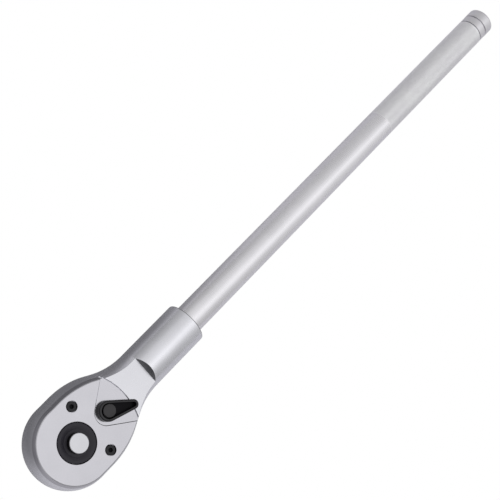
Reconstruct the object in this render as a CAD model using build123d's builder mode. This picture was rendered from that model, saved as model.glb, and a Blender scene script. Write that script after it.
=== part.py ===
from build123d import *
import os
from math import acos, atan, cos, radians, sin, sqrt, tan

# A reversible quick-release ratchet handle with a 3/4 in square drive, in millimetres.
# Origin: centre of the drive square's end face. +X runs along the handle, and +Z points out
# of the cover plate, so the square points down. The drive axis is Z.

os.makedirs("parts", exist_ok=True)

# ---------------------------------------------------------------- driving dimensions
SQUARE = 19.05              # 3/4 in drive, across flats
SQUARE_LENGTH = 22.0        # end face to the shoulder that a socket seats on
SHOULDER = 1.5              # how far the shoulder stands below the head
HEAD_THICKNESS = 30.0
HANDLE_END = 482.8          # drive axis to the handle's far end

HEAD_BOTTOM = SQUARE_LENGTH + SHOULDER
FACE = HEAD_BOTTOM + HEAD_THICKNESS     # the cover plate's top face
AXIS = FACE - 17.0                      # height of the handle's axis

# Fits
FIT = 0.05                  # radial clearance of a running fit
PRESSED = 0.02              # gap that stands for a press fit
OVERCUT = 1.0               # how far a cut runs past the surface that it opens

# Neck and sleeve
NECK_HEIGHT = 11.5          # the neck's flats stand this far above and below the axis
NECK_END = 70.0             # the neck runs into the sleeve here
NECK_STEP = 0.35            # drop from the cover plate to the neck
NECK_FLAT = AXIS + NECK_HEIGHT
NECK_UNDERSIDE = AXIS - NECK_HEIGHT
SLEEVE_RADIUS = 15.65
SLEEVE_END = 118.7
SLEEVE_RIM = 0.5            # rounding of the sleeve's far rim
WALL_LEAN = 34              # the sleeve's end walls lean back from upright, in degrees

# Plan outline of the head at three levels: half-width of the head, where its straight side
# ends, where it turns from convex to concave, and its half-width at the sleeve.
NECK_EDGE = sqrt(SLEEVE_RADIUS**2 - NECK_HEIGHT**2)
TOP_OUTLINE = dict(wide=27.4, start=9.0, turn=42.0, narrow=NECK_EDGE)
WIDEST_OUTLINE = dict(wide=31.1, start=12.0, turn=40.0, narrow=SLEEVE_RADIUS)
BOTTOM_OUTLINE = dict(wide=26.5, start=9.0, turn=42.0, narrow=NECK_EDGE)
OUTLINE_END = 69.0          # the outline is straight again from here
ROUND_X = -0.6              # centre of the head's round end
WIDEST = FACE - 14.2        # level where the crowned side wall is widest
UNDERSIDE_CHAMFER = 0.8

# Cover plate
COVER_RADIUS = 46.0         # arc that ends the cover plate, about the drive axis
COVER_THICKNESS = 3.5
RIM_CHAMFER = 0.35          # round the cover and the screw heads
LEDGE = FACE - COVER_THICKNESS
SEAM = 0.7                  # gap at the end of the cover plate
FAN_DEPTH = 0.5             # shallow recess in the cover, round the lever
FAN_ANGLE = 35.4            # half of the fan's spread
FAN_ROUND = 8.4
FAN_CENTRE = 28.5
FAN_WALL = 40               # slope of the recess's wall from upright, in degrees

# Gear, journals and hub
HUB_RADIUS = 13.6
HUB_GAP = 0.5               # round the hub ring, in the cover
HUB_SPIGOT = 10.6
HUB_SPIGOT_HEIGHT = 1.6
HUB_RING_SEAT = FACE - 3.2
HUB_RING_INSIDE = HUB_RING_SEAT + 1.7   # underside of the ring's lip, which keeps the button in
JOURNAL_RADIUS = 14.95
GEAR_TEETH = 36
GEAR_TIP = 19.2
GEAR_ROOT = 17.8
PITCH = 360 / GEAR_TEETH
ROOT_HALF = 0.8             # half of the gear's root land, in degrees
TIP_HALF = 1.04             # half of the gear's tip land, in degrees
GEAR_POCKET = 19.8
POCKET_FLOOR = HEAD_BOTTOM + 5.5
WASHER_THICKNESS = 0.8
GEAR_BOTTOM = POCKET_FLOOR + WASHER_THICKNESS
GEAR_TOP = LEDGE - 0.2
SQUARE_CORNER = 1.2

# Seals: radius of each ring above the surface that it sits on, and of its cord
SEAL_RIDE = 0.67
HUB_CORD = 0.55
SEAL_CORD = 0.6
HUB_GROOVE = HUB_RADIUS + 1.25
HUB_GROOVE_HEIGHT = 1.7
JOURNAL_GROOVE = JOURNAL_RADIUS + 1.3
JOURNAL_GROOVE_START = 2.0              # above the head's underside
JOURNAL_GROOVE_HEIGHT = 1.8
SPINDLE_GROOVE_DEPTH = 1.4

# Cover screws
SCREW_PLACES = ((13.7, 19.8), (13.7, -19.8))
SCREW_HEAD_RADIUS = 3.6
SCREW_HEAD_HEIGHT = 2.6
SCREW_SINK = 0.3            # the head's top lies this far below the cover's face
SCREW_ROOM = 0.45           # gap round the head
SCREW_SHANK_RADIUS = 2.0
SCREW_LENGTH = 14.0
HEX_HALF = 1.5
HEX_DEPTH = 1.7

# Release button, stem, spring and ball
BUTTON_RADIUS = 6.75
BUTTON_RISE = 4.5           # how far the button stands above the cover
BUTTON_BEVEL = 0.3
BUTTON_CROWN = 0.15
BUTTON_TOP = FACE + BUTTON_RISE
BUTTON_BORE = 9.0
BUTTON_FLANGE = 8.6
FLANGE_THICKNESS = 1.4
BUTTON_FOOT = HUB_RING_INSIDE - FIT - FLANGE_THICKNESS
STEM_TOP = BUTTON_TOP - 3.0
STEM_RADIUS = 5.1
STEM_NECK = 3.9
STEM_FLOOR = 3.5            # bottom of the stem's bore
STEM_FOOT = 6.6
SPRING_FLOOR = 34.0
SPRING_TURNS = 5
BUTTON_COIL = 7.4           # mean radius of the button's spring
BUTTON_WIRE = 0.8           # radius of its wire
BALL_RADIUS = 2.75
BALL_HEIGHT = 11.0          # ball centre above the square's end
BALL_PROUD = 1.2
BALL_LIP = 0.15             # staked edge of the ball's hole

# Reversing lever and its spindle
LEVER_X = 30.4              # lever pivot
LEVER_ANGLE = -29.5         # where the lever points at rest
LEVER_HUB = 7.1
LEVER_BACK = 1.2            # the hub's centre lies this far behind the pivot
LEVER_TIP = 3.4
LEVER_REACH = 17.1          # pivot to the centre of the tip's rounding
LEVER_BASE = FACE - FAN_DEPTH + 0.25
LEVER_TOP = FACE + 4.4
LEVER_FLOOR = FACE + 0.4
LEVER_RIM = 1.85
LEVER_CROWN = 1.3           # rounding of the rim, outside and inside
LEVER_INNER_CROWN = 0.4
BOSS_TOP = FACE + 2.0
BOSS_RADIUS = 4.5
BOSS_BEVEL = 0.12
SPINDLE_RADIUS = 3.9
SPINDLE_GROOVE = SPINDLE_RADIUS + 1.35
SPINDLE_FOOT = 3.0
SPINDLE_BLIND = 3.5         # depth of the hole for its foot
SPINDLE_LOW = POCKET_FLOOR - 3.3
SPINDLE_FLANGE = 4.8
SPINDLE_FLANGE_HEIGHT = 2.2
SPINDLE_GAP = 0.1           # below the cover
SPINDLE_POCKET = 7.6        # half-width of the room round the spindle

# Pawl
PAWL_PIVOT_X = 22.4
PAWL_PIN_RADIUS = 1.5
PAWL_PIN_BEVEL = 0.2
PAWL_SWING = 5.0            # rock to either side of the middle, in degrees
PAWL_GAPS = (25, 35)        # the gear's tooth gaps that one end fills, in degrees
PAWL_TIP_HALF = 0.5         # half-widths of a pawl tooth at its tip and base, in degrees
PAWL_BASE_HALF = 3.5
PAWL_MESH = 0.15            # clearance of the pawl's teeth in the gear
PAWL_BACK = 23.4
PAWL_HORN_X = 26.2
PAWL_HORN_Y = 4.4
PAWL_TOP = GEAR_TOP - 0.6
PAWL_BOTTOM = POCKET_FLOOR + 0.4
PAWL_POCKET = 25.2
PAWL_POCKET_ANGLE = 46

# Detent
PLUNGER_RADIUS = 1.5
PLUNGER_REACH = 5.2         # plunger's tip from the spindle's axis
PLUNGER_HEIGHT = (PAWL_TOP + PAWL_BOTTOM) / 2
PLUNGER_TAIL = 0.4          # the plunger's inner end, from the spindle's axis
SPRING_SEAT = 2.6           # the cross hole's blind end, on the far side
DETENT_WIRE = 0.22
DETENT_TURNS = 4

# Handle tube, roll pin and end cap
TUBE_RADIUS = 10.85
TUBE_BORE = 7.85
TUBE_SPIGOT = 10.6          # the end inside the sleeve is turned down
TUBE_START = 82.0
TUBE_LEAD = 0.8             # chamfer of the tube's hidden end
TUBE_SHOULDER = SLEEVE_END + 0.3
SLEEVE_MOUTH = 0.5          # chamfer of the sleeve's bore
KNURL_START = 346.2
KNURL_END = 466.0
KNURL_ROOT = 10.6
KNURL_RUNOUT = 0.3
ROLL_PIN_X = 100.0
ROLL_PIN_RADIUS = 2.5
ROLL_PIN_WALL = 0.8
ROLL_PIN_SLOT = 0.6
ROLL_PIN_LENGTH = 28.0
ROLL_PIN_SINK = 0.3         # below the sleeve's surface
ROLL_PIN_ROOM = 0.1         # beyond its blind end
CAP_PLUG = 22.0             # length inside the tube
CAP_LEAD = 1.0              # chamfer of the plug's end
CAP_SPLIT = 473.3           # groove between the cap's band and its end
CAP_GROOVE = 9.9
CAP_GROOVE_WIDTH = 0.8
CAP_SLOPE = 0.2             # the grooves' walls lean by this much
CAP_BAND = 10.75
CAP_ROUND = 1.4


# ---------------------------------------------------------------- shared helpers
def taper(x, wide, start, turn, narrow):
    """Half-width at x of a side that is straight up to start, then narrows in two tangent
    arcs, convex up to turn and concave from there to the outline's end."""
    swing = 2 * atan((wide - narrow) / (OUTLINE_END - start))
    convex = (turn - start) / sin(swing)
    concave = (OUTLINE_END - turn) / sin(swing)
    if x <= start:
        return wide
    if x <= turn:
        return wide - convex + sqrt(convex**2 - (x - start) ** 2)
    if x < OUTLINE_END:
        return narrow + concave - sqrt(concave**2 - (OUTLINE_END - x) ** 2)
    return narrow


def polar(radius, angle):
    return radius * cos(radians(angle)), radius * sin(radians(angle))


def mirrored(point):
    return point[0], -point[1]


def finish(builder, name):
    """Name a finished piece and write it."""
    builder.part.label = name
    export_step(builder.part, f"parts/{name}.step")


# ---------------------------------------------------------------- head blank
# The forging's side wall is crowned: each cross-section's side is one arc through the top
# edge, the widest point and the bottom edge. The round end is revolved about its own
# axis, and the rest is lofted through cross-sections along the handle. At the neck's end the
# section's arc is the sleeve's own circle. The blank is a little too thick, and flat cuts
# bring it to size.
BLANK_SPARE = 0.6           # extra thickness at the top and bottom
SECTIONS = 11               # cross-sections of the loft along the neck
REACH = 40.0                # long enough to cut past the head on any side


def side_wall(x):
    """The side wall's arc at x, as its top, widest and bottom points, with the spare."""
    along = max(0.0, (x - COVER_RADIUS) / (NECK_END - COVER_RADIUS))
    under = max(0.0, (x - LEVER_X) / (NECK_END - LEVER_X))
    top_y, top_z = taper(x, **TOP_OUTLINE), FACE + along * (NECK_FLAT - FACE)
    low_y = taper(x, **BOTTOM_OUTLINE)
    low_z = HEAD_BOTTOM + under * (NECK_UNDERSIDE - HEAD_BOTTOM)
    wide_y, wide_z = taper(x, **WIDEST_OUTLINE), WIDEST + along * (AXIS - WIDEST)
    # Circle through the three points
    a = Vector(top_y - wide_y, top_z - wide_z)
    b = Vector(low_y - wide_y, low_z - wide_z)
    d = 2 * (a.X * b.Y - a.Y * b.X)
    centre_y = wide_y + (b.Y * a.length**2 - a.Y * b.length**2) / d
    centre_z = wide_z + (a.X * b.length**2 - b.X * a.length**2) / d
    radius = sqrt((wide_y - centre_y) ** 2 + (wide_z - centre_z) ** 2)
    top_z += BLANK_SPARE
    low_z -= BLANK_SPARE
    top = (centre_y + sqrt(radius**2 - (top_z - centre_z) ** 2), top_z)
    low = (centre_y + sqrt(radius**2 - (low_z - centre_z) ** 2), low_z)
    return top, (centre_y + radius, centre_z), low


with BuildPart() as blank:
    # Round end
    top, wide, low = side_wall(ROUND_X)
    with BuildSketch(Plane.YZ.offset(ROUND_X)):
        with BuildLine():
            Polyline((0, low[1]), (0, top[1]), top)
            ThreePointArc(top, wide, low)
            Line(low, (0, low[1]))
        make_face()
    revolve(axis=Axis((ROUND_X, 0, 0), (0, 0, 1)), revolution_arc=180)
    # Straight side, taper and neck
    for i in range(SECTIONS):
        x = ROUND_X + (NECK_END - ROUND_X) * i / (SECTIONS - 1)
        top, wide, low = side_wall(x)
        with BuildSketch(Plane.YZ.offset(x)):
            with BuildLine():
                Line((-top[0], top[1]), top)
                ThreePointArc(top, wide, low)
                Line(low, (-low[0], low[1]))
                ThreePointArc((-low[0], low[1]), (-wide[0], wide[1]), (-top[0], top[1]))
            make_face()
    loft()
    # Flat top, and an underside that rises along the neck
    above = FACE + OVERCUT
    below = HEAD_BOTTOM - OVERCUT
    with BuildSketch(Plane.XZ):
        with BuildLine():
            Polyline((-REACH, FACE), (NECK_END, FACE), (NECK_END, above), (-REACH, above), close=True)
        make_face()
        with BuildLine():
            Polyline(
                (-REACH, HEAD_BOTTOM), (LEVER_X, HEAD_BOTTOM), (NECK_END, NECK_UNDERSIDE),
                (NECK_END, below), (-REACH, below), close=True,
            )
        make_face()
    extrude(amount=REACH, both=True, mode=Mode.SUBTRACT)

# ---------------------------------------------------------------- cover plate
# The plate is the top slice of the blank, up to an arc about the drive axis.
with BuildPart() as cover_plate:
    add(blank.part)
    with BuildSketch(Plane.XY.offset(LEDGE)):
        Circle(COVER_RADIUS)
    extrude(amount=COVER_THICKNESS + OVERCUT, mode=Mode.INTERSECT)
    chamfer(cover_plate.faces().sort_by(Axis.Z)[-1].outer_wire().edges(), RIM_CHAMFER)
    # Fan-shaped recess round the lever, with a sloping wall
    with BuildSketch(Plane.XY.offset(FACE - FAN_DEPTH)):
        with BuildLine():
            side_x = FAN_CENTRE - FAN_ROUND * sin(radians(FAN_ANGLE))
            side_y = FAN_ROUND * cos(radians(FAN_ANGLE))
            far_x = side_x + REACH * cos(radians(FAN_ANGLE))
            far_y = side_y + REACH * sin(radians(FAN_ANGLE))
            ThreePointArc((side_x, side_y), (FAN_CENTRE - FAN_ROUND, 0), (side_x, -side_y))
            Polyline((side_x, -side_y), (far_x, -far_y), (far_x, far_y), (side_x, side_y))
        make_face()
    extrude(amount=FAN_DEPTH + OVERCUT, taper=-FAN_WALL, mode=Mode.SUBTRACT)
    # Hub bore with its seal groove
    with BuildSketch(Plane.XY.offset(LEDGE)):
        Circle(HUB_RADIUS + HUB_GAP)
    extrude(amount=COVER_THICKNESS, mode=Mode.SUBTRACT)
    with BuildSketch(Plane.XY.offset(LEDGE)):
        Circle(HUB_GROOVE)
    extrude(amount=HUB_GROOVE_HEIGHT, mode=Mode.SUBTRACT)
    # Spindle hole, with a counterbore for its seal
    with BuildSketch(Plane.XY.offset(LEDGE)):
        with Locations((LEVER_X, 0)):
            Circle(SPINDLE_RADIUS + FIT)
    extrude(amount=COVER_THICKNESS, mode=Mode.SUBTRACT)
    with BuildSketch(Plane.XY.offset(FACE - FAN_DEPTH - SPINDLE_GROOVE_DEPTH)):
        with Locations((LEVER_X, 0)):
            Circle(SPINDLE_GROOVE)
    extrude(amount=SPINDLE_GROOVE_DEPTH + OVERCUT, mode=Mode.SUBTRACT)
    # Counterbored screw holes
    with BuildSketch(Plane.XY.offset(LEDGE)):
        with Locations(*SCREW_PLACES):
            Circle(SCREW_SHANK_RADIUS + 5 * FIT)
    extrude(amount=COVER_THICKNESS, mode=Mode.SUBTRACT)
    with BuildSketch(Plane.XY.offset(FACE - SCREW_HEAD_HEIGHT)):
        with Locations(*SCREW_PLACES):
            Circle(SCREW_HEAD_RADIUS + SCREW_ROOM)
    extrude(amount=SCREW_HEAD_HEIGHT, mode=Mode.SUBTRACT)
finish(cover_plate, "cover_plate")

# ---------------------------------------------------------------- head body
with BuildPart() as head_body:
    add(blank.part)
    # Sleeve, in line with the neck's end section
    with BuildSketch(Plane.YZ.offset(NECK_END)):
        with Locations((0, AXIS)):
            Circle(SLEEVE_RADIUS)
    extrude(amount=SLEEVE_END - NECK_END)
    fillet(head_body.edges().group_by(Axis.X)[-1], SLEEVE_RIM)
    # The neck's sloping flat, past the cover plate, and the sleeve's leaning end walls
    slope = (FACE - NECK_STEP - NECK_FLAT) / (NECK_END - COVER_RADIUS)
    ramp_start = COVER_RADIUS - NECK_STEP / slope
    wall_rise = SLEEVE_RADIUS - NECK_HEIGHT + OVERCUT
    wall_x = NECK_END + wall_rise * tan(radians(WALL_LEAN))
    with BuildSketch(Plane.XZ):
        with BuildLine():
            Polyline(
                (ramp_start, FACE), (NECK_END, NECK_FLAT), (wall_x, NECK_FLAT + wall_rise),
                (wall_x, above), (ramp_start, above), close=True,
            )
        make_face()
        with BuildLine():
            Polyline(
                (NECK_END, NECK_UNDERSIDE), (wall_x, NECK_UNDERSIDE - wall_rise),
                (NECK_END, NECK_UNDERSIDE - wall_rise), close=True,
            )
        make_face()
    extrude(amount=REACH, both=True, mode=Mode.SUBTRACT)
    # Seat of the cover plate
    with BuildSketch(Plane.XY.offset(LEDGE)):
        Circle(COVER_RADIUS + SEAM)
    extrude(amount=COVER_THICKNESS + OVERCUT, mode=Mode.SUBTRACT)
    # Gear pocket, journal bore and its seal groove
    with BuildSketch(Plane.XY.offset(POCKET_FLOOR)):
        Circle(GEAR_POCKET)
    extrude(amount=LEDGE - POCKET_FLOOR, mode=Mode.SUBTRACT)
    with BuildSketch(Plane.XY.offset(HEAD_BOTTOM)):
        Circle(JOURNAL_RADIUS + FIT)
    extrude(amount=POCKET_FLOOR - HEAD_BOTTOM, mode=Mode.SUBTRACT)
    with BuildSketch(Plane.XY.offset(HEAD_BOTTOM + JOURNAL_GROOVE_START)):
        Circle(JOURNAL_GROOVE)
    extrude(amount=JOURNAL_GROOVE_HEIGHT, mode=Mode.SUBTRACT)
    # Pawl pocket: a sector behind the gear and the room round the spindle
    with BuildSketch(Plane.XY.offset(POCKET_FLOOR)):
        with BuildLine():
            start = polar(PAWL_POCKET, -PAWL_POCKET_ANGLE)
            stop = polar(PAWL_POCKET, PAWL_POCKET_ANGLE)
            Line((0, 0), start)
            ThreePointArc(start, (PAWL_POCKET, 0), stop)
            Line(stop, (0, 0))
        make_face()
        with Locations((LEVER_X / 2, 0)):
            Rectangle(LEVER_X, 2 * SPINDLE_POCKET)
        with Locations((LEVER_X, 0)):
            Circle(SPINDLE_POCKET)
    extrude(amount=LEDGE - POCKET_FLOOR, mode=Mode.SUBTRACT)
    # Blind holes in the floor for the pawl pin and the spindle's foot
    with BuildSketch(Plane.XY.offset(POCKET_FLOOR - SPINDLE_BLIND)):
        with Locations((PAWL_PIVOT_X, 0)):
            Circle(PAWL_PIN_RADIUS + PRESSED)
        with Locations((LEVER_X, 0)):
            Circle(SPINDLE_FOOT + FIT)
    extrude(amount=SPINDLE_BLIND, mode=Mode.SUBTRACT)
    # Screw holes
    with BuildSketch(Plane.XY.offset(LEDGE)):
        with Locations(*SCREW_PLACES):
            Circle(SCREW_SHANK_RADIUS + PRESSED)
    extrude(amount=-SCREW_LENGTH, mode=Mode.SUBTRACT)
    # Socket for the tube, with a chamfered mouth, and the roll pin's hole from below
    with BuildSketch(Plane.YZ.offset(TUBE_START - 1)):
        with Locations((0, AXIS)):
            Circle(TUBE_SPIGOT + PRESSED)
    extrude(amount=SLEEVE_END, mode=Mode.SUBTRACT)
    mouth = head_body.edges().filter_by(GeomType.CIRCLE).group_by(Axis.X)[-1].sort_by(
        SortBy.RADIUS
    )[0]
    chamfer(mouth, SLEEVE_MOUTH)
    with BuildSketch(Plane.XY.offset(AXIS - SLEEVE_RADIUS)):
        with Locations((ROLL_PIN_X, 0)):
            Circle(ROLL_PIN_RADIUS + PRESSED)
    extrude(amount=ROLL_PIN_SINK + ROLL_PIN_LENGTH + ROLL_PIN_ROOM, mode=Mode.SUBTRACT)
    # Soft edge round the underside
    underside = head_body.faces().filter_by(Axis.Z).sort_by(Axis.Z)[0]
    chamfer(underside.outer_wire().edges(), UNDERSIDE_CHAMFER)
finish(head_body, "head_body")

# ---------------------------------------------------------------- cover screws
with BuildPart() as cover_screws:
    with BuildSketch(Plane.XY.offset(FACE - SCREW_HEAD_HEIGHT)):
        with Locations(*SCREW_PLACES):
            Circle(SCREW_HEAD_RADIUS)
    extrude(amount=SCREW_HEAD_HEIGHT - SCREW_SINK)
    chamfer(cover_screws.edges().group_by(Axis.Z)[-1], RIM_CHAMFER)
    with BuildSketch(Plane.XY.offset(FACE - SCREW_HEAD_HEIGHT)):
        with Locations(*SCREW_PLACES):
            Circle(SCREW_SHANK_RADIUS)
    extrude(amount=-(SCREW_LENGTH - OVERCUT))
    with BuildSketch(Plane.XY.offset(FACE - SCREW_SINK)):
        with Locations(*SCREW_PLACES):
            RegularPolygon(HEX_HALF, 6, major_radius=False)
    extrude(amount=-HEX_DEPTH, mode=Mode.SUBTRACT)
finish(cover_screws, "cover_screws")

# ---------------------------------------------------------------- drive gear
# Gear, journals and square are one forging. A tooth points along +X at rest.
with BuildPart() as drive:
    # Square with chamfered end and rounded corners
    with BuildSketch():
        RectangleRounded(SQUARE, SQUARE, SQUARE_CORNER)
    extrude(amount=SQUARE_LENGTH)
    chamfer(drive.faces().sort_by(Axis.Z)[0].outer_wire().edges(), SQUARE_CORNER)
    # Lower journal
    with BuildSketch(Plane.XY.offset(SQUARE_LENGTH)):
        Circle(JOURNAL_RADIUS)
    extrude(amount=GEAR_BOTTOM - SQUARE_LENGTH)
    # Toothed ring
    with BuildSketch(Plane.XY.offset(GEAR_BOTTOM)):
        with BuildLine():
            points = []
            for tooth in range(GEAR_TEETH):
                middle = tooth * PITCH
                points.append(polar(GEAR_ROOT, middle - PITCH / 2 + ROOT_HALF))
                points.append(polar(GEAR_TIP, middle - TIP_HALF))
                points.append(polar(GEAR_TIP, middle + TIP_HALF))
                points.append(polar(GEAR_ROOT, middle + PITCH / 2 - ROOT_HALF))
            Polyline(*points, close=True)
        make_face()
    extrude(amount=GEAR_TOP - GEAR_BOTTOM)
    # Upper journal, and the spigot that the hub ring is pressed on
    with BuildSketch(Plane.XY.offset(GEAR_TOP)):
        Circle(HUB_RADIUS)
    extrude(amount=HUB_RING_SEAT - GEAR_TOP)
    with BuildSketch(Plane.XY.offset(HUB_RING_SEAT)):
        Circle(HUB_SPIGOT)
    extrude(amount=HUB_SPIGOT_HEIGHT)
    # Bore for the button and its spring, then for the stem
    with BuildSketch(Plane.XY.offset(SPRING_FLOOR)):
        Circle(BUTTON_BORE)
    extrude(amount=FACE - SPRING_FLOOR, mode=Mode.SUBTRACT)
    with BuildSketch(Plane.XY.offset(STEM_FLOOR)):
        Circle(STEM_RADIUS + FIT)
    extrude(amount=SPRING_FLOOR - STEM_FLOOR, mode=Mode.SUBTRACT)
    # Ball hole in the face towards -Y, a little narrower at its mouth to keep the ball in
    with BuildSketch(Plane.XZ):
        with Locations((0, BALL_HEIGHT)):
            Circle(BALL_RADIUS + FIT)
    extrude(amount=SQUARE / 2 - BALL_LIP, mode=Mode.SUBTRACT)
    lip = BALL_RADIUS - BALL_PROUD - BALL_LIP       # from the ball's centre
    with BuildSketch(Plane.XZ):
        with Locations((0, BALL_HEIGHT)):
            Circle(sqrt(BALL_RADIUS**2 - lip**2) + PRESSED)
    extrude(amount=SQUARE / 2 + OVERCUT, mode=Mode.SUBTRACT)

# Two nodes, cut at the shoulder, so that collision leaves room round the square for a socket
shoulder = Plane.XY.offset(SQUARE_LENGTH)
for keep, name in ((Keep.BOTTOM, "drive_square"), (Keep.TOP, "drive_gear")):
    with BuildPart() as half:
        add(drive.part)
        split(bisect_by=shoulder, keep=keep)
    finish(half, name)

# ---------------------------------------------------------------- hub ring
# A flat rim, then a dish that falls to the button. Its lip keeps the button's flange in.
RING_BEVEL = 0.35
RING_RIM = 2.2              # width of the ring's rim with its bevel
RING_DISH = FACE - 0.6      # floor of the dish
RING_DISH_START = BUTTON_RADIUS + 2.2
RING_HOLE = BUTTON_RADIUS + 0.15
with BuildPart() as hub_ring:
    with BuildSketch(Plane.XZ):
        with BuildLine():
            Polyline(
                (HUB_SPIGOT + PRESSED, HUB_RING_SEAT), (HUB_RADIUS, HUB_RING_SEAT),
                (HUB_RADIUS, FACE - RING_BEVEL), (HUB_RADIUS - RING_BEVEL, FACE),
                (HUB_RADIUS - RING_RIM, FACE), (RING_DISH_START, RING_DISH),
                (RING_HOLE, RING_DISH), (RING_HOLE, HUB_RING_INSIDE),
                (HUB_SPIGOT + PRESSED, HUB_RING_INSIDE), close=True,
            )
        make_face()
    revolve(axis=Axis.Z)
finish(hub_ring, "hub_ring")

# ---------------------------------------------------------------- release button and stem
with BuildPart() as release_button:
    flange_top = BUTTON_FOOT + FLANGE_THICKNESS
    with BuildSketch(Plane.XZ):
        with BuildLine():
            Polyline(
                (STEM_NECK + PRESSED, BUTTON_FOOT), (BUTTON_FLANGE, BUTTON_FOOT),
                (BUTTON_FLANGE, flange_top), (BUTTON_RADIUS, flange_top),
                (BUTTON_RADIUS, BUTTON_TOP - BUTTON_BEVEL), (BUTTON_RADIUS - BUTTON_BEVEL, BUTTON_TOP),
                (0, BUTTON_TOP + BUTTON_CROWN), (0, STEM_TOP), (STEM_NECK + PRESSED, STEM_TOP),
                close=True,
            )
        make_face()
    revolve(axis=Axis.Z)
finish(release_button, "release_button")

# The stem fills its bore but for a long neck beside the ball: when the button is pressed, the
# neck comes level with the ball and lets it in.
STEM_TIP_BEVEL = 0.6
NECK_BELOW = 1.0            # the stem's full radius ends this far below the ball's centre
NECK_ABOVE = 9.0
NECK_TOP_RAMP = 1.2
with BuildPart() as release_stem:
    land = BALL_HEIGHT - NECK_BELOW
    neck_foot = land + STEM_RADIUS - STEM_NECK
    neck_head = BALL_HEIGHT + NECK_ABOVE
    guide_top = SPRING_FLOOR - OVERCUT
    with BuildSketch(Plane.XZ):
        with BuildLine():
            Polyline(
                (0, STEM_FOOT), (STEM_RADIUS - STEM_TIP_BEVEL, STEM_FOOT),
                (STEM_RADIUS, STEM_FOOT + STEM_TIP_BEVEL), (STEM_RADIUS, land),
                (STEM_NECK, neck_foot), (STEM_NECK, neck_head),
                (STEM_RADIUS, neck_head + NECK_TOP_RAMP), (STEM_RADIUS, guide_top),
                (STEM_NECK, guide_top), (STEM_NECK, STEM_TOP), (0, STEM_TOP), close=True,
            )
        make_face()
    revolve(axis=Axis.Z)
finish(release_stem, "release_stem")

# Coil spring between the floor of the gear's bore and the button's foot
with BuildPart() as button_spring:
    coil_low = SPRING_FLOOR + BUTTON_WIRE + FIT
    coil_height = BUTTON_FOOT - BUTTON_WIRE - FIT - coil_low
    with BuildLine() as coil:
        Helix(
            pitch=coil_height / SPRING_TURNS, height=coil_height, radius=BUTTON_COIL,
            center=(0, 0, coil_low),
        )
    with BuildSketch(Plane(origin=coil.line @ 0, z_dir=coil.line % 0)):
        Circle(BUTTON_WIRE)
    sweep(path=coil.line)
finish(button_spring, "button_spring")

# ---------------------------------------------------------------- detent ball
with BuildPart() as detent_ball:
    with Locations((0, -(SQUARE / 2 + BALL_PROUD - BALL_RADIUS), BALL_HEIGHT)):
        Sphere(BALL_RADIUS)
finish(detent_ball, "detent_ball")

# ---------------------------------------------------------------- thrust washer and seals
with BuildPart() as thrust_washer:
    with BuildSketch(Plane.XY.offset(POCKET_FLOOR)):
        Circle(GEAR_ROOT - 0.3)
        Circle(JOURNAL_RADIUS + 0.15, mode=Mode.SUBTRACT)
    extrude(amount=WASHER_THICKNESS - FIT)
finish(thrust_washer, "thrust_washer")

# Each seal's place along X, height, ring radius and cord radius
SEALS = {
    "hub_seal": (0, LEDGE + HUB_GROOVE_HEIGHT / 2, HUB_RADIUS + SEAL_RIDE, HUB_CORD),
    "journal_seal": (
        0, HEAD_BOTTOM + JOURNAL_GROOVE_START + JOURNAL_GROOVE_HEIGHT / 2,
        JOURNAL_RADIUS + SEAL_RIDE, SEAL_CORD,
    ),
    "spindle_seal": (
        LEVER_X, FACE - FAN_DEPTH - SPINDLE_GROOVE_DEPTH / 2 - FIT,
        SPINDLE_RADIUS + SEAL_RIDE, SEAL_CORD,
    ),
}
for name, (x, z, ring, cord) in SEALS.items():
    with BuildPart(Plane((x, 0, z))) as seal:
        Torus(ring, cord)
    finish(seal, name)


# ---------------------------------------------------------------- pawl
# One end's teeth fill the gear's gaps when the pawl is rocked towards the gear, and the
# other end is its mirror image. The pawl is drawn in its middle position, then turned to rest.
def rocked(point):
    """A point of the engaged end, brought back to the pawl's middle position."""
    turn = radians(-PAWL_SWING)
    x, y = point[0] - PAWL_PIVOT_X, point[1]
    return PAWL_PIVOT_X + x * cos(turn) - y * sin(turn), x * sin(turn) + y * cos(turn)


def pawl_teeth():
    """The engaged end's teeth, from the middle of the pawl outwards."""
    tip = GEAR_ROOT + PAWL_MESH
    base = GEAR_TIP + PAWL_MESH
    outline = [rocked(polar(base, PAWL_GAPS[0] - PITCH / 2))]
    for gap in PAWL_GAPS:
        outline.append(rocked(polar(base, gap - PAWL_BASE_HALF)))
        outline.append(rocked(polar(tip, gap - PAWL_TIP_HALF)))
        outline.append(rocked(polar(tip, gap + PAWL_TIP_HALF)))
        outline.append(rocked(polar(base, gap + PAWL_BASE_HALF)))
    outline.append(rocked(polar(base + PAWL_MESH, PAWL_GAPS[-1] + PITCH / 2)))
    return outline


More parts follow.
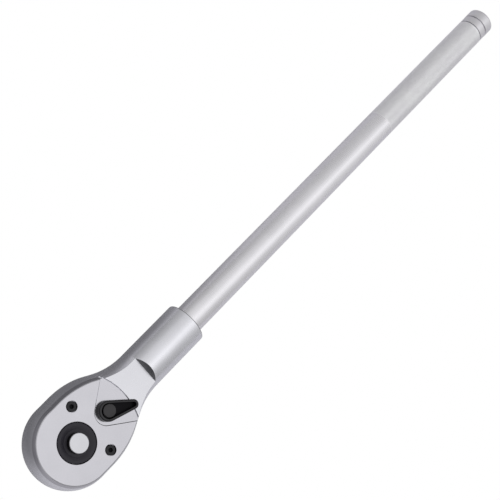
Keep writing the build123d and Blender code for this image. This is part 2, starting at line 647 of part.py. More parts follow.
with BuildPart() as pawl:
    with BuildSketch(Plane.XY.offset(PAWL_BOTTOM)):
        teeth = pawl_teeth()
        other_teeth = [mirrored(point) for point in reversed(teeth)]
        heel = polar(PAWL_BACK, PAWL_GAPS[-1] + 3)
        back = polar(PAWL_BACK, PAWL_GAPS[0])
        waist = polar(PAWL_BACK, PAWL_GAPS[0] - 8)
        horn = (PAWL_HORN_X, PAWL_HORN_Y)
        shoulder = (PAWL_HORN_X - 0.9, PAWL_HORN_Y + 1.2)
        hollow = (LEVER_X - PLUNGER_REACH - PAWL_MESH, 0)
        with BuildLine():
            Polyline(*teeth, heel)
            ThreePointArc(heel, back, waist)
            Polyline(waist, shoulder, horn)
            ThreePointArc(horn, hollow, mirrored(horn))
            Polyline(mirrored(horn), mirrored(shoulder), mirrored(waist))
            ThreePointArc(mirrored(waist), mirrored(back), mirrored(heel))
            Polyline(mirrored(heel), *other_teeth)
            ThreePointArc(other_teeth[-1], (GEAR_TIP + 3 * PAWL_MESH, 0), teeth[0])
        make_face()
        with Locations((PAWL_PIVOT_X, 0)):
            Circle(PAWL_PIN_RADIUS + FIT, mode=Mode.SUBTRACT)
    extrude(amount=PAWL_TOP - PAWL_BOTTOM)
pawl.part = pawl.part.rotate(Axis((PAWL_PIVOT_X, 0, 0), (0, 0, 1)), PAWL_SWING)
finish(pawl, "pawl")

with BuildPart() as pawl_pin:
    pin_foot = POCKET_FLOOR - SPINDLE_BLIND + SPINDLE_GAP
    with BuildSketch(Plane.XY.offset(pin_foot)):
        with Locations((PAWL_PIVOT_X, 0)):
            Circle(PAWL_PIN_RADIUS)
    extrude(amount=LEDGE - SPINDLE_GAP - pin_foot)
    chamfer(pawl_pin.edges(), PAWL_PIN_BEVEL)
finish(pawl_pin, "pawl_pin")

# ---------------------------------------------------------------- lever and spindle
# Both are drawn pointing along +X from the pivot, on a plane turned to the lever's angle.
lever_plane = Plane(
    origin=(LEVER_X, 0, 0), x_dir=(*polar(1, LEVER_ANGLE), 0), z_dir=(0, 0, 1)
)


def teardrop(hub, tip):
    """Outline of the lever's two circles joined by their common tangents, for a BuildLine."""
    lean = acos((hub - tip) / (LEVER_REACH + LEVER_BACK))
    hub_side = (hub * cos(lean) - LEVER_BACK, hub * sin(lean))
    tip_side = (tip * cos(lean) + LEVER_REACH, tip * sin(lean))
    ThreePointArc(hub_side, (-LEVER_BACK - hub, 0), mirrored(hub_side))
    Line(mirrored(hub_side), mirrored(tip_side))
    ThreePointArc(mirrored(tip_side), (LEVER_REACH + tip, 0), tip_side)
    Line(tip_side, hub_side)


with BuildPart() as reversing_lever:
    with BuildSketch(lever_plane.offset(LEVER_BASE)):
        with BuildLine():
            teardrop(LEVER_HUB, LEVER_TIP)
        make_face()
    extrude(amount=LEVER_TOP - LEVER_BASE)
    fillet(reversing_lever.faces().sort_by(Axis.Z)[-1].edges(), LEVER_CROWN)
    # Hollow inside the rim
    with BuildSketch(lever_plane.offset(LEVER_FLOOR)):
        with BuildLine():
            teardrop(LEVER_HUB - LEVER_RIM, LEVER_TIP - LEVER_RIM)
        make_face()
    extrude(amount=LEVER_TOP - LEVER_FLOOR + OVERCUT, mode=Mode.SUBTRACT)
    inner_edge = reversing_lever.faces().sort_by(Axis.Z)[-1].inner_wires()[0].edges()
    fillet(inner_edge, LEVER_INNER_CROWN)
    # Hole for the spindle
    with BuildSketch(lever_plane.offset(LEVER_BASE)):
        Circle(SPINDLE_RADIUS + PRESSED)
    extrude(amount=LEVER_TOP - LEVER_BASE, mode=Mode.SUBTRACT)
finish(reversing_lever, "reversing_lever")

with BuildPart() as lever_spindle:
    shank_foot = POCKET_FLOOR + 0.3
    flange_top = LEDGE - SPINDLE_GAP
    flange_foot = flange_top - SPINDLE_FLANGE_HEIGHT
    boss_foot = LEVER_FLOOR + PRESSED
    with BuildSketch(Plane.XZ.shift_origin((LEVER_X, 0, 0))):
        with BuildLine():
            Polyline(
                (0, SPINDLE_LOW), (SPINDLE_FOOT, SPINDLE_LOW), (SPINDLE_FOOT, shank_foot),
                (SPINDLE_RADIUS, shank_foot), (SPINDLE_RADIUS, flange_foot),
                (SPINDLE_FLANGE, flange_foot), (SPINDLE_FLANGE, flange_top),
                (SPINDLE_RADIUS, flange_top), (SPINDLE_RADIUS, boss_foot),
                (BOSS_RADIUS, boss_foot), (BOSS_RADIUS, BOSS_TOP - BOSS_BEVEL),
                (BOSS_RADIUS - BOSS_BEVEL, BOSS_TOP), (0, BOSS_TOP), close=True,
            )
        make_face()
    revolve(axis=Axis((LEVER_X, 0, 0), (0, 0, 1)))
    # Cross hole for the plunger and its spring, away from the lever's tip
    plunger_plane = Plane(
        origin=(LEVER_X, 0, PLUNGER_HEIGHT), z_dir=-lever_plane.x_dir, x_dir=(0, 0, 1)
    )
    with BuildSketch(plunger_plane.offset(-SPRING_SEAT)):
        Circle(PLUNGER_RADIUS + FIT)
    extrude(amount=SPRING_SEAT + SPINDLE_RADIUS + OVERCUT, mode=Mode.SUBTRACT)
finish(lever_spindle, "lever_spindle")

with BuildPart() as detent_plunger:
    with BuildSketch(plunger_plane.offset(PLUNGER_TAIL)):
        Circle(PLUNGER_RADIUS)
    extrude(amount=PLUNGER_REACH - PLUNGER_TAIL)
    nose = detent_plunger.edges().filter_by(GeomType.CIRCLE).sort_by(
        lambda edge: (edge.center() - plunger_plane.origin).length
    )[-1]
    fillet(nose, PLUNGER_RADIUS - 2 * FIT)
finish(detent_plunger, "detent_plunger")

with BuildPart() as detent_spring:
    small_height = PLUNGER_TAIL + SPRING_SEAT - 2 * (DETENT_WIRE + FIT)
    with BuildLine() as small_coil:
        Helix(
            pitch=small_height / DETENT_TURNS, height=small_height,
            radius=PLUNGER_RADIUS - DETENT_WIRE - 2 * FIT,
            center=plunger_plane.offset(-SPRING_SEAT + DETENT_WIRE + FIT).origin,
            direction=plunger_plane.z_dir,
        )
    with BuildSketch(Plane(origin=small_coil.line @ 0, z_dir=small_coil.line % 0)):
        Circle(DETENT_WIRE)
    sweep(path=small_coil.line)
finish(detent_spring, "detent_spring")

# ---------------------------------------------------------------- handle
handle_axis = Axis((0, 0, AXIS), (1, 0, 0))
with BuildPart() as handle_tube:
    with BuildSketch(Plane.XZ):
        with BuildLine():
            Polyline(
                (TUBE_START, AXIS + TUBE_BORE), (TUBE_START, AXIS + TUBE_SPIGOT - TUBE_LEAD),
                (TUBE_START + TUBE_LEAD, AXIS + TUBE_SPIGOT), (TUBE_SHOULDER, AXIS + TUBE_SPIGOT),
                (TUBE_SHOULDER, AXIS + TUBE_RADIUS), (KNURL_START - KNURL_RUNOUT, AXIS + TUBE_RADIUS),
                (KNURL_START, AXIS + KNURL_ROOT), (KNURL_END, AXIS + KNURL_ROOT),
                (KNURL_END, AXIS + TUBE_BORE), close=True,
            )
        make_face()
    revolve(axis=handle_axis)
    with BuildSketch(Plane.XY.offset(AXIS)):
        with Locations((ROLL_PIN_X, 0)):
            Circle(ROLL_PIN_RADIUS + PRESSED)
    extrude(amount=SLEEVE_RADIUS, both=True, mode=Mode.SUBTRACT)
finish(handle_tube, "handle_tube")

with BuildPart() as end_cap:
    plug_start = KNURL_END - CAP_PLUG
    plug_radius = TUBE_BORE - PRESSED
    first_groove = KNURL_END + CAP_GROOVE_WIDTH
    second_groove = CAP_SPLIT + CAP_GROOVE_WIDTH
    with BuildSketch(Plane.XZ):
        with BuildLine():
            Polyline(
                (plug_start, AXIS), (plug_start, AXIS + plug_radius - CAP_LEAD),
                (plug_start + CAP_LEAD, AXIS + plug_radius), (KNURL_END, AXIS + plug_radius),
                (KNURL_END, AXIS + CAP_GROOVE), (first_groove, AXIS + CAP_GROOVE),
                (first_groove + CAP_SLOPE, AXIS + CAP_BAND), (CAP_SPLIT - CAP_SLOPE, AXIS + CAP_BAND),
                (CAP_SPLIT, AXIS + CAP_GROOVE), (second_groove, AXIS + CAP_GROOVE),
                (second_groove + CAP_SLOPE, AXIS + TUBE_RADIUS), (HANDLE_END, AXIS + TUBE_RADIUS),
                (HANDLE_END, AXIS), close=True,
            )
        make_face()
    revolve(axis=handle_axis)
    fillet(end_cap.edges().group_by(Axis.X)[-1], CAP_ROUND)
finish(end_cap, "end_cap")

with BuildPart() as handle_roll_pin:
    with BuildSketch(Plane.XY.offset(AXIS - SLEEVE_RADIUS + ROLL_PIN_SINK)):
        with Locations((ROLL_PIN_X, 0)):
            Circle(ROLL_PIN_RADIUS)
            Circle(ROLL_PIN_RADIUS - ROLL_PIN_WALL, mode=Mode.SUBTRACT)
        with Locations((ROLL_PIN_X + ROLL_PIN_RADIUS, 0)):
            Rectangle(2 * ROLL_PIN_RADIUS - ROLL_PIN_WALL, ROLL_PIN_SLOT, mode=Mode.SUBTRACT)
    extrude(amount=ROLL_PIN_LENGTH)
finish(handle_roll_pin, "handle_roll_pin")
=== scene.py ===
from math import cos, pi, radians, sin

import bpy
from mathutils import Matrix, Vector


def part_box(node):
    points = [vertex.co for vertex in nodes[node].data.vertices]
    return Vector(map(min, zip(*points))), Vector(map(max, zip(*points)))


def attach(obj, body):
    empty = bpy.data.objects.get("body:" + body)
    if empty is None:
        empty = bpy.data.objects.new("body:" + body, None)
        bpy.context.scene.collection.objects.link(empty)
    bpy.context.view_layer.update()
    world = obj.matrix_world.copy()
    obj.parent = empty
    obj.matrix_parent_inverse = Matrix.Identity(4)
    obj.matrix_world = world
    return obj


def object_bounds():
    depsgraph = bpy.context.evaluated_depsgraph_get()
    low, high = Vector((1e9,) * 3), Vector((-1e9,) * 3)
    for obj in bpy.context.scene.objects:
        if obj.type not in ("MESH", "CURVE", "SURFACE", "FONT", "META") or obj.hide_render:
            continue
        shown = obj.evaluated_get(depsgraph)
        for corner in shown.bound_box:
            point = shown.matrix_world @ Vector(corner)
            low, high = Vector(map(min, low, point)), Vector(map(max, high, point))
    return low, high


# Looks of a reversible ratchet handle. Metres, in the CAD frame: +X runs along the handle,
# +Z up out of the cover plate, and the origin is at the end of the drive square.

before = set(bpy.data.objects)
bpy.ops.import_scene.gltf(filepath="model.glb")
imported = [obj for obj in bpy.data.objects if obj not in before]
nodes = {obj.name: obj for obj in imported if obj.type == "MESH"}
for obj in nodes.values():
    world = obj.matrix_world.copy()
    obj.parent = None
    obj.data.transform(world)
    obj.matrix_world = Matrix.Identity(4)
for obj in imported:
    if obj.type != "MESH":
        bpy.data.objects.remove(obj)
cad_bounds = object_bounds()
MM = 0.001

# ---------------------------------------------------------------- places, from the frame
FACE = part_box("cover_plate")[1][2]
BUTTON_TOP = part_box("release_button")[1][2]
SLEEVE_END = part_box("head_body")[1][0]
AXIS_HEIGHT = sum(corner[2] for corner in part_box("end_cap")) / 2
TUBE_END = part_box("handle_tube")[1][0]
TUBE_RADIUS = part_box("handle_tube")[1][2] - AXIS_HEIGHT

# ---------------------------------------------------------------- node helpers
# Each adds its nodes to a tree and returns the socket that holds the result. Where a helper
# takes a value, that is a number or another socket.


def feed(tree, value, socket):
    """Set a socket to a constant, or link it to another socket."""
    if isinstance(value, bpy.types.NodeSocket):
        tree.links.new(value, socket)
    else:
        socket.default_value = value


def axes_of(tree, vector):
    """A vector's X, Y and Z, by name."""
    node = tree.nodes.new("ShaderNodeSeparateXYZ")
    tree.links.new(vector, node.inputs["Vector"])
    return node.outputs


def length_of(tree, vector):
    node = tree.nodes.new("ShaderNodeVectorMath")
    node.operation = "LENGTH"
    tree.links.new(vector, node.inputs[0])
    return node.outputs["Value"]


def scaled(tree, vector, factor):
    """A vector or a colour times a factor."""
    node = tree.nodes.new("ShaderNodeVectorMath")
    node.operation = "SCALE"
    feed(tree, vector, node.inputs[0])
    feed(tree, factor, node.inputs["Scale"])
    return node.outputs["Vector"]


def moved(tree, place, offset=(0, 0, 0), scale=(1, 1, 1)):
    """Coordinates scaled along each axis and then shifted."""
    node = tree.nodes.new("ShaderNodeMapping")
    node.inputs["Location"].default_value = offset
    node.inputs["Scale"].default_value = scale
    tree.links.new(place, node.inputs["Vector"])
    return node.outputs["Vector"]


def noise(tree, place, scale, detail=4.0, roughness=0.55):
    node = tree.nodes.new("ShaderNodeTexNoise")
    node.inputs["Scale"].default_value = scale
    node.inputs["Detail"].default_value = detail
    node.inputs["Roughness"].default_value = roughness
    tree.links.new(place, node.inputs["Vector"])
    return node.outputs["Fac"]


def remap(tree, value, low, high, to_low, to_high, smooth=False):
    """value from low..high to to_low..to_high, clamped."""
    node = tree.nodes.new("ShaderNodeMapRange")
    node.interpolation_type = "SMOOTHSTEP" if smooth else "LINEAR"
    node.inputs["From Min"].default_value = low
    node.inputs["From Max"].default_value = high
    node.inputs["To Min"].default_value = to_low
    node.inputs["To Max"].default_value = to_high
    tree.links.new(value, node.inputs["Value"])
    return node.outputs["Result"]


def step(tree, value, edge, blur, before, after):
    """before up to an edge and after past it, blurred over a distance on each side."""
    return remap(tree, value, edge - blur, edge + blur, before, after, smooth=True)


def arithmetic(tree, operation, first, second):
    node = tree.nodes.new("ShaderNodeMath")
    node.operation = operation
    feed(tree, first, node.inputs[0])
    feed(tree, second, node.inputs[1])
    return node.outputs["Value"]


def product(tree, first, *others):
    for other in others:
        first = arithmetic(tree, "MULTIPLY", first, other)
    return first


def mix_numbers(tree, factor, first, second):
    node = tree.nodes.new("ShaderNodeMix")
    tree.links.new(factor, node.inputs["Factor"])
    feed(tree, first, node.inputs["A"])
    feed(tree, second, node.inputs["B"])
    return node.outputs["Result"]


def mix_colours(tree, factor, first, second):
    node = tree.nodes.new("ShaderNodeMix")
    node.data_type = "RGBA"
    colours = [socket for socket in node.inputs if socket.type == "RGBA"]
    tree.links.new(factor, node.inputs["Factor"])
    for colour, socket in zip((first, second), colours):
        feed(tree, colour, socket)
    return next(socket for socket in node.outputs if socket.type == "RGBA")


def mix_shaders(tree, factor, first, second):
    node = tree.nodes.new("ShaderNodeMixShader")
    tree.links.new(factor, node.inputs["Fac"])
    tree.links.new(first, node.inputs[1])
    tree.links.new(second, node.inputs[2])
    return node.outputs["Shader"]


def camera_ray(tree):
    return tree.nodes.new("ShaderNodeLightPath").outputs["Is Camera Ray"]


def bump(tree, shader, height, depth):
    node = tree.nodes.new("ShaderNodeBump")
    node.inputs["Distance"].default_value = depth
    node.inputs["Strength"].default_value = 1.0
    tree.links.new(height, node.inputs["Height"])
    tree.links.new(node.outputs["Normal"], shader.inputs["Normal"])


# ---------------------------------------------------------------- materials
CLOUDS = 55.0               # per metre, in metal
CLOUD_RANGE = (0.3, 0.7)    # of the noise, from one extreme of the look to the other
CLOUD_TONE = 0.03           # how much the clouds lighten and darken the metal
CLOUD_GLOSS = 0.07          # and how much they change its roughness
LINE_RANGE = (0.35, 0.65)
LINE_GLOSS = 0.015          # how much tool lines change the roughness
PATCHES = 160.0             # per metre, in black coatings
PATCH_RANGE = (0.3, 0.7)
PATCH_GLOSS = 0.12
BLOOM_RANGE = (0.35, 0.7)
PAINTED_SHADE_SHEEN = 0.12               # share of its sheen that a shaded recess keeps: painted shade
PAINTED_SHADE_BLUR = 0.5 * MM


def new_material(name):
    """An empty node material: (material, its tree, its Principled shader, Object coordinates)."""
    material = bpy.data.materials.new(name)
    material.use_nodes = True
    tree = material.node_tree
    shader = tree.nodes["Principled BSDF"]
    place = tree.nodes.new("ShaderNodeTexCoord").outputs["Object"]
    return material, tree, shader, place


def metal(name, colour, roughness, grain=0.35 * MM, grain_depth=0.002 * MM, lines=None,
          line_depth=0.002 * MM, shade=None):
    """A metal surface: a fine grain, faint clouds, and optional tool or brush lines.

    lines scales the coordinates for the line pattern, per metre along each axis. shade is a
    function of the tree and the coordinates: a factor that darkens the colour in places.
    """
    material, tree, shader, place = new_material(name)
    shader.inputs["Metallic"].default_value = 1.0
    clouds = noise(tree, place, CLOUDS, detail=3.0)
    fine = noise(tree, place, 1.0 / grain, detail=2.0, roughness=0.7)
    darker = [part * (1 - CLOUD_TONE) for part in colour]
    lighter = [min(1.0, part * (1 + CLOUD_TONE)) for part in colour]
    tone = remap(tree, clouds, *CLOUD_RANGE, 0, 1)
    base = mix_colours(tree, tone, (*darker, 1.0), (*lighter, 1.0))
    if shade:
        base = scaled(tree, base, shade(tree, place))
    tree.links.new(base, shader.inputs["Base Color"])
    smoothest, roughest = roughness * (1 - CLOUD_GLOSS), roughness * (1 + CLOUD_GLOSS)
    rough = remap(tree, clouds, *CLOUD_RANGE, smoothest, roughest)
    height, depth = fine, grain_depth
    if lines:
        streaks = noise(tree, moved(tree, place, scale=lines), 1.0, detail=3.0, roughness=0.6)
        height = arithmetic(tree, "ADD", product(tree, fine, grain_depth / line_depth), streaks)
        depth = line_depth
        streaky = remap(tree, streaks, *LINE_RANGE, -LINE_GLOSS, LINE_GLOSS)
        rough = arithmetic(tree, "ADD", rough, streaky)
    tree.links.new(rough, shader.inputs["Roughness"])
    bump(tree, shader, height, depth)
    return material


def black(name, colour, roughness, gloss=0.3, grain=0.5 * MM, depth=0.01 * MM, bloom=0.4,
          painted_shade_below=None):
    """A black coating: fine texture, and a slightly paler bloom in patches.

    It loses its sheen under the height that its last argument gives: painted shade in a recess.
    """
    material, tree, shader, place = new_material(name)
    shader.inputs["Specular IOR Level"].default_value = gloss
    if painted_shade_below:
        # Painted shade: less sheen under the given height, in recesses.
        sheen = step(tree, axes_of(tree, place)["Z"], painted_shade_below, PAINTED_SHADE_BLUR, PAINTED_SHADE_SHEEN, 1.0)
        tree.links.new(product(tree, sheen, gloss), shader.inputs["Specular IOR Level"])
    patches = noise(tree, place, PATCHES)
    fine = noise(tree, place, 1.0 / grain, detail=2.0, roughness=0.7)
    paler = [part * (1 + bloom) for part in colour]
    tone = remap(tree, patches, *BLOOM_RANGE, 0, 1)
    base = mix_colours(tree, tone, (*colour, 1.0), (*paler, 1.0))
    tree.links.new(base, shader.inputs["Base Color"])
    smoothest, roughest = roughness * (1 - PATCH_GLOSS), roughness * (1 + PATCH_GLOSS)
    rough = remap(tree, patches, *PATCH_RANGE, smoothest, roughest)
    tree.links.new(rough, shader.inputs["Roughness"])
    bump(tree, shader, fine, depth)
    return material


# ---------------------------------------------------------------- darker places
# Painted shade. Each shade is the share of the colour that is left.
EDGE_BLUR = 0.15 * MM
BUTTON_CAP = 0.6 * MM       # the bright top of the button, above its side, which is painted near black as shade
BUTTON_SIDE_PAINTED_SHADE = 0.03
SLEEVE_RIM = 0.55 * MM      # painted shade on the rim, with the sleeve's end face
RIM_SHADE = 0.15
NECK_START = 60.0 * MM      # past this, the walls that look back at the head are darker: painted shade, on a darker cut finish
NECK_BLUR = 1.0 * MM
WALL_SHADE = 0.24
LOOKS_BACK = -0.7           # X of such a wall's normal
NORMAL_BLUR = 0.1


# Painted shade and painted dark reflection: the button's side, below its top, is painted near
# black.
def button_shade(tree, place):
    height = axes_of(tree, place)["Z"]
    return step(tree, height, BUTTON_TOP - BUTTON_CAP, EDGE_BLUR, BUTTON_SIDE_PAINTED_SHADE, 1.0)


# Painted shade on the sleeve's rim and end face, and on the shoulder walls that look back at the
# head, which also have a darker cut finish.
def forging_shade(tree, place):
    along = axes_of(tree, place)["X"]
    rim = step(tree, along, SLEEVE_END - SLEEVE_RIM, EDGE_BLUR, 1.0, RIM_SHADE)
    normal = tree.nodes.new("ShaderNodeTexCoord").outputs["Normal"]
    facing = axes_of(tree, normal)["X"]
    wall = step(tree, facing, LOOKS_BACK, NORMAL_BLUR, WALL_SHADE, 1.0)
    on_head = step(tree, along, NECK_START, NECK_BLUR, 1.0, 0.0)
    return product(tree, rim, arithmetic(tree, "MAXIMUM", wall, on_head))


# ---------------------------------------------------------------- what each piece is made of
TURNED = (4200.0, 60.0, 60.0)            # fine lines round the handle's axis
GROUND = (2600.0, 2600.0, 120.0)         # fine lines along the drive axis
FINE = dict(grain=0.2 * MM, grain_depth=0.001 * MM)
RUBBER = (0.012, 0.012, 0.012)
SCREW_PAINTED_SHADE = -1.1 * MM                   # from the cover's face: under this the screws lose their sheen, as painted shade in their sockets
LEVER_PAINTED_SHADE = 2.9 * MM                    # and the lever, in its recess, under this

LOOKS = {
    "head_body": metal(
        "forged_satin_chrome", (0.735, 0.735, 0.765), 0.27, grain_depth=0.001 * MM,
        shade=forging_shade,
    ),
    "cover_plate": metal("cover_satin_chrome", (0.475, 0.47, 0.495), 0.17),
    "handle_tube": metal(
        "tube_satin_chrome", (0.80, 0.79, 0.81), 0.28, lines=TURNED, line_depth=0.001 * MM
    ),
    "end_cap": metal("cap_satin_chrome", (0.74, 0.73, 0.75), 0.38, lines=TURNED),
    "release_button": metal(
        "button_chrome", (0.56, 0.56, 0.58), 0.30, shade=button_shade, **FINE
    ),
    "detent_ball": metal("ball_steel", (0.72, 0.72, 0.74), 0.12, **FINE),
    "drive_gear": metal("drive_steel", (0.56, 0.56, 0.58), 0.34, lines=GROUND),
    "drive_square": metal("square_steel", (0.56, 0.56, 0.58), 0.34, lines=GROUND),
    "release_stem": metal("stem_steel", (0.55, 0.55, 0.57), 0.30, lines=GROUND),
    "pawl": metal("pawl_steel", (0.46, 0.46, 0.48), 0.36, lines=GROUND),
    "pawl_pin": metal("pin_steel", (0.62, 0.62, 0.64), 0.22),
    "detent_plunger": metal("plunger_steel", (0.62, 0.62, 0.64), 0.22),
    "detent_spring": metal("small_spring_steel", (0.48, 0.48, 0.50), 0.30),
    "button_spring": metal("spring_steel", (0.46, 0.46, 0.48), 0.30),
    "thrust_washer": metal("washer_steel", (0.58, 0.58, 0.60), 0.30),
    "handle_roll_pin": metal("roll_pin_steel", (0.16, 0.16, 0.17), 0.42),
    "hub_ring": black("ring_black", (0.0180, 0.0165, 0.0225), 0.42),
    "cover_screws": black(
        "screw_black", (0.0085, 0.0080, 0.0100), 0.38, painted_shade_below=FACE + SCREW_PAINTED_SHADE
    ),
    "reversing_lever": black(
        "lever_black", (0.0050, 0.0045, 0.0060), 0.28, gloss=0.5,
        painted_shade_below=FACE + LEVER_PAINTED_SHADE,
    ),
    "lever_spindle": black("spindle_dark", (0.046, 0.044, 0.046), 0.60, bloom=0.15),
    "hub_seal": black("hub_seal_rubber", RUBBER, 0.60),
    "journal_seal": black("journal_seal_rubber", RUBBER, 0.60),
    "spindle_seal": black("spindle_seal_rubber", RUBBER, 0.60),
}
for name, look in LOOKS.items():
    data = nodes[name].data
    data.materials.clear()
    data.materials.append(look)

# ---------------------------------------------------------------- knurled grip
# A skin of small pyramids over the end of the tube, which is a plain, thinner cylinder there.
KNURL_START = 345.9 * MM    # the end of the tube's full radius
KNURL_ROOT = 10.75 * MM
KNURL_CREST = 10.91 * MM
DIAMONDS_ROUND = 56
RUN_IN = 3                  # rows over which the knurl grows to full depth
ROW = pi * 2 * KNURL_CREST / DIAMONDS_ROUND / 2      # half a diamond along the axis
# the share of the colour left in the knurl's valleys, as painted shade
VALLEY_SHADE = 0.82


def knurl_skin():
    """Rings of crests and roots in turn, which step round by one point from row to row."""
    count = 2 * DIAMONDS_ROUND
    rows = round((TUBE_END - KNURL_START) / ROW)
    rows += rows % 2
    spacing = (TUBE_END - KNURL_START) / rows
    points = []
    for row in range(rows + 1):
        grown = min(1.0, row / RUN_IN, (rows - row) / RUN_IN)
        for k in range(count):
            full = KNURL_CREST if (k + row) % 2 else KNURL_ROOT
            radius = TUBE_RADIUS + grown * (full - TUBE_RADIUS)
            angle = pi * k / DIAMONDS_ROUND
            height = AXIS_HEIGHT + radius * sin(angle)
            points.append((KNURL_START + row * spacing, radius * cos(angle), height))
    # Each cell is split along its valley, which joins its two roots
    faces = []
    for row in range(rows):
        for k in range(count):
            after = (k + 1) % count
            a, b = row * count + k, row * count + after
            c, d = b + count, a + count
            if (k + row) % 2:
                faces += [(d, b, a), (d, c, b)]
            else:
                faces += [(c, b, a), (d, c, a)]
    mesh = bpy.data.meshes.new("knurl_grip")
    mesh.from_pydata(points, [], faces)
    mesh.update()
    skin = bpy.data.objects.new("knurl_grip", mesh)
    bpy.context.scene.collection.objects.link(skin)
    return skin


def knurl_shade(tree, place):
    """Painted shade: darker in the valleys, by the distance from the handle's axis."""
    from_axis = moved(tree, place, offset=(0, 0, -AXIS_HEIGHT), scale=(0, 1, 1))
    radius = length_of(tree, from_axis)
    return remap(tree, radius, KNURL_ROOT, KNURL_CREST, VALLEY_SHADE, 1.0)


knurl = knurl_skin()
knurl.data.materials.append(
    metal("knurl_satin_chrome", (0.99, 0.98, 1.00), 0.36, shade=knurl_shade)
)
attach(knurl, "head")

# ---------------------------------------------------------------- floor
# To the camera the floor is bright paper. What the metal mirrors of it is greyer, and darkest
# on the +Y side by the head: a painted dark reflection, as of a black card, and painted shadow
# of the head close by it, with painted darkness far off beyond the head.
FLOOR_SIZE = 30.0
UNDER_SQUARE = 14 * MM      # radius that is left open, so that the square's end gets light
PAPER_TINT = (0.985, 0.975, 1.02)
PAPER_RIGHT = 0.80          # towards -Y
PAPER_BY_HEAD = 0.25        # towards +Y
PAPER_BY_GRIP = 0.72
PAPER_EDGE = 0.25           # share that is left far off beyond the head
PAPER_LIFT = 0.9            # share that is added at the head's far end, on its +Y side
PAPER_ROUGHNESS = 0.9
RIGHT_TO_LEFT = (-60 * MM, 60 * MM)      # Y over which the levels change
HEAD_TO_GRIP = (80 * MM, 260 * MM)       # X
PAST_HEAD = (-60 * MM, 60 * MM)          # X
CLEAR_OF_HEAD = (70 * MM, 220 * MM)      # distance from the drive axis
FAR_OFF = (-600 * MM, -220 * MM)         # X


def paper_level(tree, place):
    """How bright the floor is where the metal mirrors it."""
    axes = axes_of(tree, place)
    to_left = remap(tree, axes["Y"], *RIGHT_TO_LEFT, 0, 1, smooth=True)
    left = remap(tree, axes["X"], *HEAD_TO_GRIP, PAPER_BY_HEAD, PAPER_BY_GRIP, smooth=True)
    level = mix_numbers(tree, to_left, PAPER_RIGHT, left)
    clear = remap(tree, length_of(tree, place), *CLEAR_OF_HEAD, 0, PAPER_LIFT, smooth=True)
    by_head = remap(tree, axes["X"], *PAST_HEAD, 1, 0, smooth=True)
    lift = arithmetic(tree, "ADD", product(tree, clear, by_head, to_left), 1.0)
    far_off = remap(tree, axes["X"], *FAR_OFF, PAPER_EDGE, 1, smooth=True)
    return product(tree, level, lift, far_off)


def floor_material():
    material, tree, shader, place = new_material("pale_floor")
    paper = scaled(tree, PAPER_TINT, paper_level(tree, place))
    tree.links.new(paper, shader.inputs["Base Color"])
    shader.inputs["Roughness"].default_value = PAPER_ROUGHNESS
    bright = tree.nodes.new("ShaderNodeEmission").outputs["Emission"]
    seen = mix_shaders(tree, camera_ray(tree), shader.outputs["BSDF"], bright)
    # Clear from underneath, so that the tool's underside can be seen
    underneath = tree.nodes.new("ShaderNodeNewGeometry").outputs["Backfacing"]
    under_square = arithmetic(tree, "LESS_THAN", length_of(tree, place), UNDER_SQUARE)
    clear = arithmetic(tree, "MAXIMUM", underneath, under_square)
    glass = tree.nodes.new("ShaderNodeBsdfTransparent").outputs["BSDF"]
    surface = mix_shaders(tree, clear, seen, glass)
    tree.links.new(surface, tree.nodes["Material Output"].inputs["Surface"])
    return material


half = FLOOR_SIZE / 2
floor_mesh = bpy.data.meshes.new("floor")
floor_mesh.from_pydata(
    [(-half, -half, 0), (half, -half, 0), (half, half, 0), (-half, half, 0)], [], [(0, 1, 2, 3)]
)
floor = bpy.data.objects.new("floor", floor_mesh)
floor.location.z = cad_bounds[0][2]
floor.data.materials.append(floor_material())
bpy.context.scene.collection.objects.link(floor)

# ---------------------------------------------------------------- studio light
# A soft tent over the handle, darker past both its ends. Each stop is (degrees about the
# handle's axis, from straight up towards +Y; brightness). One set lights what faces the head's
# end of the tent and one what faces the grip's end.
HEAD_TENT = [
    (-90, 0.44), (-62, 0.50), (-42, 0.66), (-28, 1.02), (-12, 1.34), (2, 1.12), (14, 0.99),
    (37, 0.87), (61, 0.52), (90, 0.28),
]
GRIP_TENT = [
    (-90, 0.68), (-62, 0.78), (-42, 0.96), (-24, 1.15), (-10, 1.05), (4, 0.82), (16, 0.69),
    (37, 0.63), (61, 0.60), (90, 0.60),
]
TENT_BLUE = 1.015           # the tent's blue, against its red and green
# X of the direction over which the light changes, and what is left of it past each end
HEAD_TO_GRIP_TENT = (0.31, 0.46)
GRIP_END = (0.64, 0.92)
PAST_GRIP_END = 0.30
HEAD_END = (-0.80, -0.45)
PAST_HEAD_END = 0.50


def tent(tree, turn, stops):
    """Brightness round the handle as a colour ramp over turn, which is 0..1 for -180..180."""
    ramp = tree.nodes.new("ShaderNodeValToRGB")
    ramp.color_ramp.interpolation = "EASE"
    elements = ramp.color_ramp.elements
    while len(elements) < len(stops):
        elements.new(0.5)
    for element, (degrees, level) in zip(elements, stops):
        element.position = (degrees + 180) / 360
        element.color = (level, level, level * TENT_BLUE, 1.0)
    tree.links.new(turn, ramp.inputs["Fac"])
    return ramp.outputs["Color"]


def backdrop(tree, colour, strength):
    node = tree.nodes.new("ShaderNodeBackground")
    feed(tree, colour, node.inputs["Color"])
    feed(tree, strength, node.inputs["Strength"])
    return node.outputs["Background"]


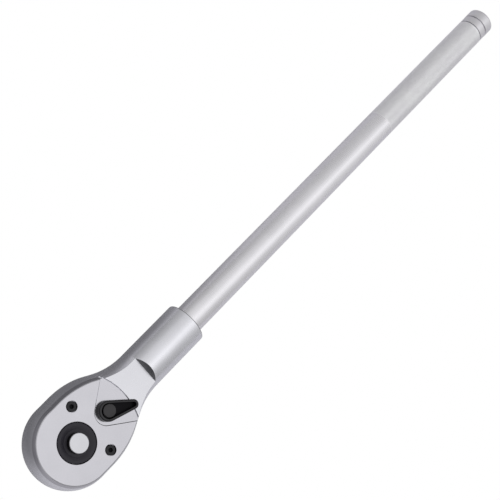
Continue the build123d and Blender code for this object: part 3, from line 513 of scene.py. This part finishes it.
def studio():
    world = bpy.data.worlds.new("studio")
    bpy.context.scene.world = world
    world.use_nodes = True
    tree = world.node_tree
    tree.nodes.clear()
    axes = axes_of(tree, tree.nodes.new("ShaderNodeTexCoord").outputs["Generated"])
    angle = arithmetic(tree, "ARCTAN2", axes["Y"], axes["Z"])
    turn = remap(tree, angle, -pi, pi, 0, 1)
    towards_grip = remap(tree, axes["X"], *HEAD_TO_GRIP_TENT, 0, 1)
    head_tent = tent(tree, turn, HEAD_TENT)
    grip_tent = tent(tree, turn, GRIP_TENT)
    colour = mix_colours(tree, towards_grip, head_tent, grip_tent)
    grip_end = remap(tree, axes["X"], *GRIP_END, 1.0, PAST_GRIP_END)
    head_end = remap(tree, axes["X"], *HEAD_END, PAST_HEAD_END, 1.0)
    light = backdrop(tree, colour, product(tree, grip_end, head_end))
    paper = backdrop(tree, (1.0, 1.0, 1.0, 1.0), 1.0)
    output = tree.nodes.new("ShaderNodeOutputWorld")
    surface = mix_shaders(tree, camera_ray(tree), light, paper)
    tree.links.new(surface, output.inputs["Surface"])


studio()
bpy.context.scene.view_settings.view_transform = "Standard"

# ---------------------------------------------------------------- camera
TARGET = Vector((192.9, 3.5, 36.5)) * MM
DISTANCE = 984.2 * MM
AZIMUTH = radians(151.576)               # direction from the target to the camera, from +X
ELEVATION = radians(62.015)
ROLL = radians(75.903)
LENS = 98.12
SENSOR_WIDTH = 36.0
CLIP_START = 0.05

camera = bpy.data.objects.new("camera", bpy.data.cameras.new("camera"))
camera.data.lens = LENS
camera.data.sensor_width = SENSOR_WIDTH
camera.data.clip_start = CLIP_START
away = Vector(
    (cos(ELEVATION) * cos(AZIMUTH), cos(ELEVATION) * sin(AZIMUTH), sin(ELEVATION))
)
right = Vector((-sin(AZIMUTH), cos(AZIMUTH), 0.0))
turned = Matrix((right, away.cross(right), away)).transposed() @ Matrix.Rotation(ROLL, 3, "Z")
camera.matrix_world = Matrix.Translation(TARGET + DISTANCE * away) @ turned.to_4x4()
bpy.context.scene.collection.objects.link(camera)
bpy.context.scene.camera = camera
